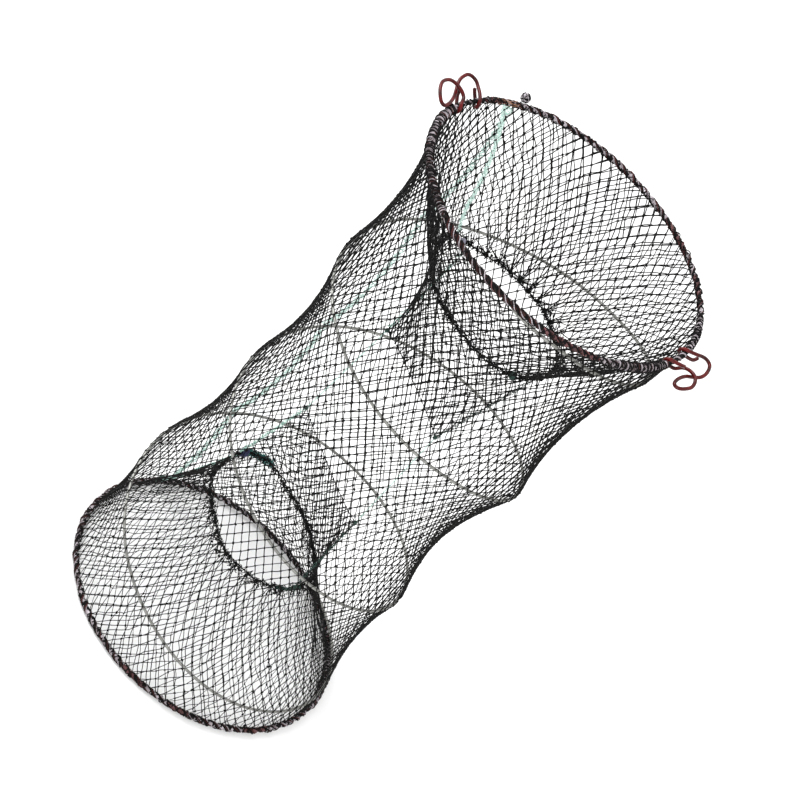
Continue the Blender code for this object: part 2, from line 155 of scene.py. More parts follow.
# ------------------------------------------------------------ mesh building
class Build:
    """Collects faces from many small pieces of geometry into one mesh."""

    def __init__(self):
        self.v, self.q, self.t, self.n = [], [], [], 0

    def add(self, verts, quads=None, tris=None):
        verts = np.asarray(verts, float).reshape(-1, 3)
        if quads is not None and len(quads):
            self.q.append(np.asarray(quads, int) + self.n)
        if tris is not None and len(tris):
            self.t.append(np.asarray(tris, int) + self.n)
        self.v.append(verts)
        self.n += len(verts)
        return self

    def make(self, name, mat, body="base", nodes=(), squash=True, slot=None):
        v = np.concatenate(self.v)
        q = np.concatenate(self.q) if self.q else np.zeros((0, 4), int)
        t = np.concatenate(self.t) if self.t else np.zeros((0, 3), int)
        me = bpy.data.meshes.new(name)
        me.vertices.add(len(v))
        me.vertices.foreach_set("co", v.astype(np.float32).ravel())
        loops = np.concatenate([q.ravel(), t.ravel()])
        me.loops.add(len(loops))
        me.loops.foreach_set("vertex_index", loops.astype(np.int32))
        me.polygons.add(len(q) + len(t))
        starts = np.concatenate([np.arange(len(q)) * 4, len(q) * 4 + np.arange(len(t)) * 3])
        totals = np.concatenate([np.full(len(q), 4), np.full(len(t), 3)])
        me.polygons.foreach_set("loop_start", starts.astype(np.int32))
        me.polygons.foreach_set("loop_total", totals.astype(np.int32))
        me.polygons.foreach_set("use_smooth", np.ones(len(starts), bool))
        me.update(calc_edges=True)
        me.validate()
        me.materials.append(mat)
        ob = bpy.data.objects.new(name, me)
        bpy.context.scene.collection.objects.link(ob)
        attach(ob, body)
        if squash:
            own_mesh(ob)
        if nodes:
            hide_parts(*nodes)
        return ob


def unit(a):
    return a / np.maximum(np.linalg.norm(a, axis=-1, keepdims=True), 1e-12)


def tubes(P, N, r, sides=5, closed=False, caps=False):
    """Round tubes along M lines of K points. N gives a side direction."""
    P = np.asarray(P, float)
    if P.ndim == 2:
        P = P[None]
    M, K = P.shape[:2]
    N = np.broadcast_to(np.asarray(N, float), P.shape)
    if closed:
        T = np.roll(P, -1, 1) - np.roll(P, 1, 1)
    else:
        T = np.empty_like(P)
        T[:, 1:-1] = P[:, 2:] - P[:, :-2]
        T[:, 0] = P[:, 1] - P[:, 0]
        T[:, -1] = P[:, -1] - P[:, -2]
    T = unit(T)
    B = unit(np.cross(T, N))
    n = np.cross(B, T)
    a = 2 * np.pi * np.arange(sides) / sides
    r = np.broadcast_to(np.asarray(r, float), (M, K))
    V = (P[:, :, None, :] + r[:, :, None, None]
         * (np.cos(a)[None, None, :, None] * n[:, :, None, :]
            + np.sin(a)[None, None, :, None] * B[:, :, None, :]))
    KK = K if closed else K - 1
    m, k, s = np.meshgrid(np.arange(M), np.arange(KK), np.arange(sides), indexing="ij")
    k2, s2 = (k + 1) % K, (s + 1) % sides
    idx = lambda kk, ss: (m * K + kk) * sides + ss
    Q = np.stack([idx(k, s), idx(k, s2), idx(k2, s2), idx(k2, s)], -1).reshape(-1, 4)
    V = V.reshape(-1, 3)
    tris = None
    if caps and not closed:
        ends = np.concatenate([P[:, 0] - T[:, 0] * r[:, :1] * 0.6, P[:, -1] + T[:, -1] * r[:, -1:] * 0.6])
        base = len(V)
        V = np.concatenate([V, ends])
        tris = []
        for i in range(M):
            for j in range(sides):
                j2 = (j + 1) % sides
                tris.append((base + i, (i * K) * sides + j2, (i * K) * sides + j))
                tris.append((base + M + i, (i * K + K - 1) * sides + j, (i * K + K - 1) * sides + j2))
        tris = np.array(tris)
    return V, Q, tris


def side_normals(P, closed=False):
    """Directions across a line that turn as little as possible along it."""
    P = np.asarray(P, float)
    T = unit((np.roll(P, -1, 0) - np.roll(P, 1, 0)) if closed else np.gradient(P, axis=0))
    n = np.zeros_like(P)
    ref = np.array([0.0, 0.0, 1.0]) if abs(T[0, 2]) < 0.9 else np.array([1.0, 0.0, 0.0])
    cur = unit(np.cross(np.cross(T[0], ref), T[0]))
    for i in range(len(P)):
        cur = cur - T[i] * (cur @ T[i])
        cur /= max(np.linalg.norm(cur), 1e-9)
        n[i] = cur
    return n


def line_tube(b, P, r, sides=8, closed=False, caps=True):
    P = np.asarray(P, float)
    v, q, t = tubes(P, side_normals(P, closed), np.broadcast_to(r, (1, len(P))), sides, closed, caps)
    return b.add(v, q, t)


def twisted(b, P, r, lay, plies=2, sides=6, closed=False, phase=0.0, hang=None):
    """A laid twine of the given radius along P: plies turning round the line."""
    P = np.asarray(P, float)
    n = side_normals(P, closed)
    T = unit((np.roll(P, -1, 0) - np.roll(P, 1, 0)) if closed else np.gradient(P, axis=0))
    c = np.cross(T, n)
    d = np.r_[0, np.cumsum(np.linalg.norm(np.diff(P, axis=0), axis=1))]
    ply = r / (1 + 1 / math.sin(math.pi / plies)) if plies > 1 else r
    off = r - ply
    for k in range(plies):
        a = 2 * np.pi * (d / lay + k / plies) + phase
        Q = P + off * (np.cos(a)[:, None] * n + np.sin(a)[:, None] * c)
        line_tube(b, Q, ply * 1.05, sides, closed)
    return b


def resample(P, step, closed=False):
    P = np.asarray(P, float)
    if closed:
        P = np.vstack([P, P[:1]])
    d = np.r_[0, np.cumsum(np.linalg.norm(np.diff(P, axis=0), axis=1))]
    m = max(3, int(round(d[-1] / step)))
    s = np.linspace(0, d[-1], m + 1)
    out = np.stack([np.interp(s, d, P[:, i]) for i in range(3)], 1)
    return out[:-1] if closed else out


def spline(points, per=8):
    """Catmull-Rom through the points."""
    p = np.asarray(points, float)
    p = np.vstack([2 * p[0] - p[1], p, 2 * p[-1] - p[-2]])
    out = []
    for i in range(1, len(p) - 2):
        for f in np.arange(per) / per:
            out.append(0.5 * (2 * p[i] + (p[i + 1] - p[i - 1]) * f
                              + (2 * p[i - 1] - 5 * p[i] + 4 * p[i + 1] - p[i + 2]) * f * f
                              + (3 * p[i] - p[i - 1] - 3 * p[i + 1] + p[i + 2]) * f ** 3))
    out.append(p[-2])
    return np.array(out)


BALL_A, BALL_H = 6, 3


def lumps(b, C, X, Y, Z, rad, jitter=0.0, around=BALL_A, high=BALL_H):
    """Small rounded knots at points C with axes X, Y, Z and radii rad (M,3)."""
    C = np.asarray(C, float)
    M = len(C)
    rad = np.broadcast_to(np.asarray(rad, float), (M, 3))
    th = np.pi * np.arange(1, high + 1) / (high + 1)
    ph = 2 * np.pi * np.arange(around) / around
    dirs = [(0, 0, 1)]
    for t in th:
        for p in ph:
            dirs.append((math.sin(t) * math.cos(p), math.sin(t) * math.sin(p), math.cos(t)))
    dirs.append((0, 0, -1))
    D = np.array(dirs)
    s = 1.0 + jitter * RNG.normal(size=(M, len(D)))
    V = (C[:, None, :]
         + (D[None, :, 0] * s * rad[:, :1])[..., None] * X[:, None, :]
         + (D[None, :, 1] * s * rad[:, 1:2])[..., None] * Y[:, None, :]
         + (D[None, :, 2] * s * rad[:, 2:])[..., None] * Z[:, None, :])
    nv = len(D)
    q, t = [], []
    for i in range(around):
        j = (i + 1) % around
        t.append((0, 1 + i, 1 + j))
        t.append((nv - 1, 1 + (high - 1) * around + j, 1 + (high - 1) * around + i))
        for h in range(high - 1):
            a = 1 + h * around
            q.append((a + i, a + around + i, a + around + j, a + j))
    off = (np.arange(M) * nv)[:, None, None]
    Q = (np.array(q)[None] + off).reshape(-1, 4)
    T = (np.array(t)[None] + off).reshape(-1, 3)
    return b.add(V.reshape(-1, 3), Q, T)


# -------------------------------------------------------------- the spring
START = 70.5           # the wire leaves the lower ring at this angle
AT = np.r_[np.arange(21) * 60.0, 1225.0]
HEIGHTS = np.array((0.0, 0.0346, 0.068, 0.1242, 0.1847, 0.2253, 0.2541, 0.2902, 0.3415, 0.3978,
                    0.4489, 0.497, 0.5472, 0.6054, 0.6683, 0.7049, 0.7302, 0.766, 0.8322, 0.9189,
                    0.9784, 1.0))
RADII = np.array((1.0, 0.978, 0.992, 0.982, 0.981, 0.958, 0.918, 0.888, 0.875, 0.866, 0.876,
                  0.896, 0.917, 0.922, 0.900, 0.901, 0.908, 0.900, 0.922, 0.958, 0.975, 1.0))


def slopes(x, y):
    """Slopes at the points for a curve that doesn't overshoot them."""
    h, d = np.diff(x), np.diff(y) / np.diff(x)
    s = np.zeros(len(y))
    for i in range(1, len(y) - 1):
        if d[i - 1] * d[i] > 0:
            w1, w2 = 2 * h[i] + h[i - 1], h[i] + 2 * h[i - 1]
            s[i] = (w1 + w2) / (w1 / d[i - 1] + w2 / d[i])
    s[0], s[-1] = d[0], d[-1] if y[-1] != y[-2] else 0.0
    return s


def along(t, values, grade):
    t = np.clip(np.asarray(t, float), 0, 1225.0)
    i = np.clip(np.searchsorted(AT, t, side="right") - 1, 0, len(AT) - 2)
    h = AT[i + 1] - AT[i]
    f = (t - AT[i]) / h
    return ((2 * f ** 3 - 3 * f ** 2 + 1) * values[i] + (f ** 3 - 2 * f ** 2 + f) * h * grade[i]
            + (-2 * f ** 3 + 3 * f ** 2) * values[i + 1] + (f ** 3 - f ** 2) * h * grade[i + 1])


GRADE_H, GRADE_R = slopes(AT, HEIGHTS), slopes(AT, RADII)


def coil_share(t):
    return along(t, HEIGHTS, GRADE_H)


def coil_radius(t):
    return R * along(t, RADII, GRADE_R)


def coil_points(t):
    s = coil_share(t)
    a = np.radians(START - t)
    r = coil_radius(t)
    # at its two ends the wire runs beside the hoop, under the wrapping
    lift = 0.0031 * (np.exp(-(t / 14.0) ** 2) - np.exp(-((1225.0 - t) / 14.0) ** 2))
    return np.stack([r * np.cos(a), r * np.sin(a), Z0 + s * L + lift], -1)


# --------------------------------------------------------- net on the tube
def tube_net(az, s):
    """Points and outward normals of the net over the coil. It is drawn tight
    over each pass of the wire and over the rings, and waists in between."""
    az, s = np.asarray(az, float), np.asarray(s, float)
    sup = [np.zeros_like(s)]
    rad = [np.full_like(s, R + 0.0002)]
    first = (START - az) % 360.0
    for k in range(4):
        t = first + 360.0 * k
        ok = t < 1225.0
        h = np.where(ok, coil_share(np.minimum(t, 1225.0)), 1.0)
        sup.append(h)
        rad.append(np.where(ok, coil_radius(t) + WIRE + THREAD, R + 0.0002))
    sup.append(np.ones_like(s))
    rad.append(np.full_like(s, R + 0.0002))
    sup, rad = np.stack(sup), np.stack(rad)
    r = np.full_like(s, R)
    more = 1.0 + 0.32 * np.maximum(0.0, np.cos(np.radians(az - 7.0))) * np.exp(-((s - 0.42) / 0.2) ** 2)
    for k in range(len(sup) - 1):
        a, b = sup[k], sup[k + 1]
        w = np.maximum(b - a, 1e-6)
        u = (s - a) / w
        inside = (u >= 0) & (u <= 1) & (b - a > 1e-4)
        u = np.clip(u, 0, 1)
        c = (1 - u) * rad[k] + u * rad[k + 1] - 0.138 * w * w * more * 4 * u * (1 - u)
        r = np.where(inside, c, r)
    a = np.radians(az)
    out = np.stack([np.cos(a), np.sin(a), np.zeros_like(a)], -1)
    P = out * r[..., None]
    P[..., 2] = Z0 + s * L
    return P, out


def net_panel(name, surface, ai, aj, nodes=None, thread=THREAD, knot=0.00096, seed=1,
              pieces=1, body="base", keep_bar=None, skip_first=False):
    """Knots on a grid (rows x columns, given as parameter arrays) and the bars
    of thread between them. surface(a, b) gives points and normals; every other
    row stands half a mesh across. ai, aj: (rows, cols) parameters."""
    rng = np.random.default_rng(seed)
    rows, cols = ai.shape
    made = []
    cuts = np.linspace(0, rows - 1, pieces + 1).astype(int)
    for c0, c1 in zip(cuts[:-1], cuts[1:]):
        b = Build()
        P, N = surface(ai, aj)
        jj = np.arange(c0, c1)
        starts, ends = [], []
        for j in jj:
            i = np.arange(cols)
            for step in ((0, -1) if j % 2 == 0 else (0, 1)):
                i2 = i + step
                if CYC:
                    ok = np.ones(cols, bool)
                else:
                    ok = (i2 >= 0) & (i2 < cols)
                starts.append(np.stack([np.full(ok.sum(), j), i[ok]], -1))
                ends.append(np.stack([np.full(ok.sum(), j + 1), i2[ok]], -1))
        S, E = np.concatenate(starts), np.concatenate(ends)
        if keep_bar is not None:
            k = keep_bar(S, E)
            S, E = S[k], E[k]
        a0, b0 = ai[S[:, 0], S[:, 1]], aj[S[:, 0], S[:, 1]]
        a1, b1 = ai[E[:, 0], E[:, 1] % cols], aj[E[:, 0], E[:, 1] % cols]
        wrap = np.where(E[:, 1] >= cols, PERIOD, 0.0) - np.where(E[:, 1] < 0, PERIOD, 0.0)
        a1 = a1 + wrap
        f = np.linspace(0, 1, 4)
        A = a0[:, None] * (1 - f) + a1[:, None] * f
        Bp = b0[:, None] * (1 - f) + b1[:, None] * f
        Q, NN = surface(A, Bp)
        # a little slack in each bar
        sag = rng.normal(size=(len(Q), 1, 3)) * 0.00022
        Q = Q + sag * (4 * f * (1 - f))[None, :, None]
        tr = np.broadcast_to(thread, (rows,))[S[:, 0]][:, None]
        v, q, _ = tubes(Q, NN, tr * (1 + 0.12 * rng.normal(size=(len(Q), 1))), 4)
        b.add(v, q)
        kk = np.arange(c0, c1 + (1 if c1 == rows - 1 else 0))
        KP, KN = P[kk].reshape(-1, 3), N[kk].reshape(-1, 3)
        Z = unit(KN)
        ref = np.array([0.0, 0.0, 1.0])
        X = unit(np.cross(np.broadcast_to(ref, Z.shape), Z))
        Y = np.cross(Z, X)
        # each knot lies along one of the two threads that cross in it
        D = (P[np.minimum(kk + 1, rows - 1)] - P[np.minimum(kk, rows - 2)]).reshape(-1, 3)
        tw = np.arctan2((D * Y).sum(1), (D * X).sum(1)) * rng.choice([1.0, -1.0], len(KP))
        tw = (tw + 0.25 * rng.normal(size=len(KP)))[:, None]
        X, Y = X * np.cos(tw) + Y * np.sin(tw), -X * np.sin(tw) + Y * np.cos(tw)
        kr = np.broadcast_to(knot, (rows,))[np.repeat(kk, cols)][:, None]
        size = kr * (1 + 0.16 * rng.normal(size=(len(KP), 1))) * np.array([[1.55, 0.92, 0.88]])
        lumps(b, KP, X, Y, Z, size, 0.06)
        made.append(b.make(name if pieces == 1 else "%s_%d" % (name, len(made) + 1), M_NET, body,
                           nodes if nodes and not made else (), slot="net"))
    return made


def smooth_noise(shape, seed, amp, passes=6):
    g = np.random.default_rng(seed).normal(size=shape)
    for _ in range(passes):
        g = (g + np.roll(g, 1, 1) + np.roll(g, -1, 1)) / 3
        g[1:-1] = (g[:-2] + g[1:-1] + g[2:]) / 3
    return amp * g / max(g.std(), 1e-9)


CYC, PERIOD = True, 360.0
j, i = np.meshgrid(np.arange(ROWS + 1), np.arange(MESHES), indexing="ij")
az = (i + 0.5 * (j % 2)) * 360.0 / MESHES + 152.0
sh = j / ROWS
jit = np.random.default_rng(7)
fade = np.minimum(1.0, np.minimum(j, ROWS - j) / 3.0)
az = az + fade * (smooth_noise(az.shape, 3, 0.30) + jit.normal(size=az.shape) * 0.09)
sh = np.clip(sh + fade * (smooth_noise(az.shape, 4, 0.0010) + jit.normal(size=az.shape) * 0.0004), 0, 1)
net_panel("net_tube", tube_net, az, sh, nodes=["net_bay_1", "net_bay_2", "net_bay_3", "net_bay_4"],
          thread=np.linspace(0.00041, 0.00058, ROWS + 1), knot=np.linspace(0.00092, 0.00110, ROWS + 1),
          seed=11, pieces=6)

# the spring wire and the two hoops
b = Build()
t = np.linspace(0, 1225, 900)
line_tube(b, coil_points(t), WIRE, 14)
b.make("spring_wire", M_WIRE, nodes=["spring_turn_%d" % k for k in (1, 2, 3, 4)], slot="spring_wire")
ring = np.radians(np.arange(240) * 1.5)
for word, z, body in (("lower", Z0, "base"), ("upper", Z1, "top")):
    b = Build()
    line_tube(b, np.stack([R * np.cos(ring), R * np.sin(ring), np.full(240, z)], -1), HOOP, 12, closed=True)
    b.make(word + "_hoop_wire", M_HOOP, body, [word + "_end_hoop"], squash=False, slot="spring_wire")

# ----------------------------------------------------------------- funnels
TURN = math.radians(157.0)
DEPTH = 0.19 * L
CENTRE = {"lower": (-0.08 * R, 0.10 * R), "upper": (0.02 * R, 0.10 * R)}
INTO = {"lower": 1.0, "upper": -1.0}
ZRING = {"lower": Z0, "upper": Z1}


LIPS = {   # radius of each mouth (in ring radii) at angles from its seam corner
    "lower": ((-171, .480), (-151, .453), (-134, .397), (-117, .355), (-89, .350), (-73, .365),
              (-58, .388), (-42, .445), (-33, .520), (-25, .570), (-10, .598), (2, .575), (16, .525),
              (42, .485), (69, .430), (85, .430), (95, .453), (105, .475), (119, .500), (134, .505),
              (152, .515), (162, .505), (176, .496)),
    "upper": ((-180, .535), (-160, .505), (-145, .470), (-125, .410), (-103, .372), (-89, .365),
              (-74, .350), (-60, .346), (-42, .373), (-27, .399), (-16, .414), (-7, .441), (2, .500),
              (10, .560), (23, .552), (45, .530), (70, .520), (100, .506), (118, .513), (135, .538),
              (150, .552), (165, .550))}
TUFTS = {"lower": 34, "upper": 28}


def lip_radius(end, phi):
    at = np.array([p for p, _ in LIPS[end]], float)
    val = np.array([v for _, v in LIPS[end]], float) * R
    n = len(at)
    x = np.concatenate([at - 360.0, at, at + 360.0])
    y = np.concatenate([val, val, val])
    p = (np.asarray(phi, float) + 180.0) % 360.0 - 180.0
    i = np.clip(np.searchsorted(x, p, side="right") - 1, 1, 3 * n - 3)
    h = x[i + 1] - x[i]
    f = (p - x[i]) / h
    m0 = (y[i + 1] - y[i - 1]) / (x[i + 1] - x[i - 1]) * h
    m1 = (y[i + 2] - y[i]) / (x[i + 2] - x[i]) * h
    return ((2 * f ** 3 - 3 * f ** 2 + 1) * y[i] + (f ** 3 - 2 * f ** 2 + f) * m0
            + (-2 * f ** 3 + 3 * f ** 2) * y[i + 1] + (f ** 3 - f ** 2) * m1)


def lip(end, phi, grow=0.0):
    a = np.radians(phi) + TURN
    r = lip_radius(end, phi) + grow
    return np.stack([CENTRE[end][0] + r * np.cos(a), CENTRE[end][1] + r * np.sin(a),
                     ZRING[end] + INTO[end] * DEPTH + 0 * a], -1)


def funnel(end):
    def surface(phi, u):
        phi, u = np.asarray(phi, float), np.asarray(u, float)
        a = np.radians(phi) + TURN
        outer = np.stack([(R - 0.001) * np.cos(a), (R - 0.001) * np.sin(a),
                          np.full_like(a, ZRING[end])], -1)
        inner = lip(end, phi)
        P = outer * (1 - u[..., None]) + inner * u[..., None]
        # drawn net hangs a little hollow between ring and lip, in shallow folds
        dirn = unit(inner - outer)
        tang = np.stack([-np.sin(a), np.cos(a), np.zeros_like(a)], -1)
        n = unit(np.cross(tang, dirn))
        turn = 0.0 if end == "lower" else 2.0
        fold = (np.sin(5 * a + 1.3 + turn + 1.5 * u) + 0.8 * np.sin(11 * a + 0.4 + turn - 3 * u)
                + 0.6 * np.sin(19 * a + 2.2 + 5 * u) + 0.4 * np.sin(31 * a + turn + 9 * u))
        P = P + n * ((-0.0016 + 0.0011 * fold) * np.sin(np.pi * np.clip(u, 0, 1)))[..., None]
        return P, n
    return surface


for end in ("lower", "upper"):
    surf = funnel(end)
    # rows stay one bar apart as the meshes close up towards the lip
    us, u, bar = [0.0], 0.0, 0.0088
    length = 0.137
    while u < 1.0:
        wide = 2 * math.pi * ((1 - u) * R + u * 0.070) / FINE / 2
        u += math.sqrt(max(bar ** 2 - wide ** 2, 0.003 ** 2)) / length
        us.append(u)
    us = np.array(us) / us[-1]
    rows = len(us)
    j, i = np.meshgrid(np.arange(rows), np.arange(FINE), indexing="ij")
    phi = (i + 0.5 * (j % 2)) * 360.0 / FINE
    uu = us[j]
    fade = np.minimum(1.0, np.minimum(j, rows - 1 - j) / 2.0)
    rr = np.random.default_rng(21 if end == "lower" else 22)
    phi = phi + fade * (smooth_noise(phi.shape, 31 + rows, 0.5) + rr.normal(size=phi.shape) * 0.25)
    uu = np.clip(uu + fade * rr.normal(size=phi.shape) * 0.006, 0, 1)
    # the last rows close up into tufts on the lip
    tuft = np.round(phi / (360.0 / TUFTS[end])) * (360.0 / TUFTS[end])
    pull = np.select([j == rows - 1, j == rows - 2, j == rows - 3, j == rows - 4],
                     [0.97, 0.6, 0.3, 0.12] if end == "upper" else [0.9, 0.45, 0.15, 0.0], 0.0)
    phi = phi * (1 - pull) + tuft * pull
    low = end == "lower"
    net_panel(end + "_funnel", surf, phi, uu, nodes=[end + "_funnel_net"], seed=51, pieces=1,
              thread=0.00037 if low else 0.00047, knot=0.00080 if low else 0.00092)

# --------------------------------------------------------------- lip tufts
def strands(b, P0, P1, thread, bend, rr, sides=4):
    """Slack threads from each point of P0 to the same point of P1."""
    f = np.linspace(0, 1, 6)
    D = rr.normal(size=P0.shape) * bend
    Q = (P0[:, None] * (1 - f)[None, :, None] + P1[:, None] * f[None, :, None]
         + D[:, None] * (4 * f * (1 - f))[None, :, None])
    N = unit(np.cross(P1 - P0, rr.normal(size=P0.shape)) + 1e-9)
    v, q, _ = tubes(Q, N[:, None], thread, sides)
    return b.add(v, q)


for end in ("lower", "upper"):
    rr = np.random.default_rng(61 if end == "lower" else 62)
    surf = funnel(end)
    # the drawstring, and a second turn of cord whipped over it
    b = Build()
    k = np.linspace(0, 360, 420, endpoint=False)
    base = lip(end, k)
    wob = smooth_noise((1, 420), 66, 0.0005, 3)[0]
    base[:, 2] += wob
    twisted(b, base, 0.00085, 0.0034, 2, 6, closed=True)
    ph = 2 * np.pi * k / 360.0 * 96 + 0.6 * smooth_noise((1, 420), 67, 1.0, 4)[0]
    k2 = np.linspace(0, 360, 2400, endpoint=False)
    ph = 2 * np.pi * k2 / 360.0 * 110 + 1.4 * np.interp(k2, k, smooth_noise((1, 420), 67, 1.0, 6)[0])
    c = lip(end, k2)
    o = unit(c - np.array([CENTRE[end][0], CENTRE[end][1], c[0, 2]]))
    rad = 0.0016 + 0.0004 * np.interp(k2, k, smooth_noise((1, 420), 68, 1.0, 3)[0])
    c = c + rad[:, None] * (np.cos(ph)[:, None] * o + np.sin(ph)[:, None] * np.array([0, 0, 1.0]))
    line_tube(b, c, 0.0004, 5, closed=True)
    b.make(end + "_lip_cord", M_NET, nodes=[end + "_mouth_cord"], slot="net")
    # bunched meshes: a knot where each pair of meshes is caught by the cord,
    # smaller ones strewn between, and slack threads and loops over them all
    b = Build()
    count = TUFTS[end]
    loose = 0.08 if end == "upper" else 0.22
    ph = (np.arange(count) + rr.uniform(-loose, loose, count)) * 360.0 / count
    C = lip(end, ph)
    up = np.broadcast_to(np.array([0.0, 0.0, 1.0]), C.shape)
    back, _ = surf(ph, np.full(count, 0.955))
    out = unit(back - C)
    side = unit(np.cross(up, out))
    lumps(b, C + out * rr.uniform(-0.0008, 0.0016, (count, 1)), out, side, np.cross(out, side),
          np.stack([rr.uniform(.0012, .0024, count), rr.uniform(.0010, .0017, count),
                    rr.uniform(.0010, .0014, count)], -1), 0.16, 8, 5)
    few = 150
    pf = rr.uniform(0, 360, few)
    Cf, Nf = surf(pf, rr.uniform(0.945, 1.0, few))
    Cf = Cf + rr.normal(size=Cf.shape) * 0.0008
    Xf = unit(rr.normal(size=Cf.shape))
    Yf = unit(np.cross(Xf, rr.normal(size=Cf.shape)))
    lumps(b, Cf, Xf, Yf, np.cross(Xf, Yf), rr.uniform(.0006, .0012, (few, 1)) * np.array([[1.5, 0.9, 0.9]]), 0.12)
    per = 6
    F = np.repeat(np.arange(count), per)
    start = C[F] + rr.normal(size=(len(F), 3)) * 0.0011
    far, _ = surf(ph[F] + rr.uniform(-0.9, 0.9, len(F)) * 360.0 / count, rr.uniform(0.93, 0.985, len(F)))
    strands(b, start, far, THREAD * 0.9, 0.0010, rr)
    # loose ends and loops that stand off the lip
    many = 260
    pf = rr.uniform(0, 360, many)
    start = lip(end, pf) + rr.normal(size=(many, 3)) * 0.0010
    d = rr.normal(size=(many, 3)) + np.stack([0 * pf, 0 * pf, 0 * pf], -1)
    strands(b, start, start + unit(d) * rr.uniform(0.0018, 0.0046, (many, 1)), THREAD * 0.95, 0.0012, rr)
    b.make(end + "_lip_tufts", M_NET, slot="net")

# ----------------------------------------------------------------- tongues
TIPS = {"lower": ((-0.45, 0.16, 1.61), (0.30, 0.25, 1.25)),
        "upper": ((-0.36, -0.10, 2.69), (0.32, -0.03, 2.40))}
SIDE = {"lower": -1.0, "upper": 1.0}


def tongue(end):
    a, c = [np.array(p) * R + np.array([0, 0, Z0]) for p in TIPS[end]]

    def surface(x, v):
        """x runs along the lip 0..1, v from the lip to the inner edge."""
        x, v = np.asarray(x, float), np.asarray(v, float)
        root = lip(end, SIDE[end] * 180.0 * x)
        tip = a + (c - a) * x[..., None]
        # the free edge is drawn in a little between its two corners
        mid = (4 * x * (1 - x))[..., None]
        back = unit(root - tip)
        tip = tip + back * 0.006 * mid
        P = root * (1 - v[..., None]) + tip * v[..., None]
        n = unit(np.cross((c - a) + 0 * P, tip - root))
        P = P + n * (0.003 * mid[..., 0] * 4 * v * (1 - v))[..., None]
        return P, n
    return surface


CYC, PERIOD = False, 0.0
for end in ("lower", "upper"):
    surf = tongue(end)
    cols, rows = 21, 18
    j, i = np.meshgrid(np.arange(rows + 1), np.arange(cols), indexing="ij")
    x = np.clip((i + 0.5 * (j % 2)) / (cols - 0.5), 0, 1)
    v = j / rows
    rr = np.random.default_rng(71)
    inner = (x > 0.01) & (x < 0.99)
    x = np.clip(x + inner * rr.normal(size=x.shape) * 0.004, 0, 1)
    net_panel(end + "_tongue", surf, x, v + 0.0, nodes=[end + "_tongue_net"], seed=72)
    # selvage cord round the three free sides
    b = Build()
    f = np.linspace(0, 1, 40)
    for xs, vs in ((np.zeros(40), f), (np.ones(40), f), (f, np.ones(40))):
        P, _ = surf(xs, vs)
        twisted(b, P, 0.00050, 0.0024, 2, 5)
    b.make(end + "_tongue_selvage", M_NET, slot="net")


# ---------------------------------------------------------- knots and laces
def wound(b, centre, radii, thread, turns, seed, axis=(0, 0, 1), core=0.9):
    """A knot or ball: loops of thread wound over a core in many directions."""
    rr = np.random.default_rng(seed)
    centre, radii = np.array(centre, float), np.array(radii, float)
    axis = unit(np.array(axis, float))
    ref = np.array([1.0, 0, 0]) if abs(axis[0]) < 0.8 else np.array([0, 1.0, 0])
    x = unit(np.cross(ref, axis))
    y = np.cross(axis, x)
    F = np.stack([x, y, axis])
    lumps(b, centre[None], F[0][None], F[1][None], F[2][None], radii * core, 0.03, 10, 7)
    for k in range(turns):
        n = rr.normal(size=3)
        n /= np.linalg.norm(n)
        u = unit(np.cross(n, rr.normal(size=3)))
        w = np.cross(n, u)
        a = np.linspace(0, 2 * np.pi, 22, endpoint=False)
        shift = n * rr.uniform(-0.35, 0.35)
        D = unit(np.cos(a)[:, None] * u + np.sin(a)[:, None] * w + shift)
        P = centre + (D * radii * rr.uniform(0.9, 1.03)) @ F
        v, q, t = tubes(P, unit(P - centre)[None], thread, 6, closed=True)
        b.add(v, q, t)
    return b


def tails(b, centre, count, reach, thread, seed, lean=(0, 0, 0)):
    rr = np.random.default_rng(seed)
    for _ in range(count):
        d = unit(rr.normal(size=3) + np.array(lean, float))
        ln = reach * rr.uniform(0.6, 1.2)
        f = np.linspace(0, 1, 7)[:, None]
        bend = rr.normal(size=3) * reach * 0.3
        line_tube(b, np.array(centre) + d * ln * f + bend * f * f, thread, 5)
    return b


def zigzag(b, line, side, half, pitch, thread, seed, runs=1):
    """Lacing over a line: a thread that goes from side to side of a seam."""
    rr = np.random.default_rng(seed)
    if np.ndim(side) > 1:
        old = np.linspace(0, 1, len(line))
        line = resample(line, pitch)
        new = np.linspace(0, 1, len(line))
        side = np.stack([np.interp(new, old, side[:, k]) for k in range(3)], 1)
    else:
        line = resample(line, pitch)
    T = unit(np.gradient(line, axis=0))
    side = unit(np.cross(T, np.broadcast_to(side, T.shape)))
    for k in range(runs):
        sgn = np.where((np.arange(len(line)) + k) % 2 == 0, 1.0, -1.0)
        wob = 1 + 0.25 * rr.normal(size=len(line))
        P = line + side * (sgn * half * wob)[:, None] + rr.normal(size=line.shape) * half * 0.06
        line_tube(b, spline(P, 3), thread, 5)
    return b


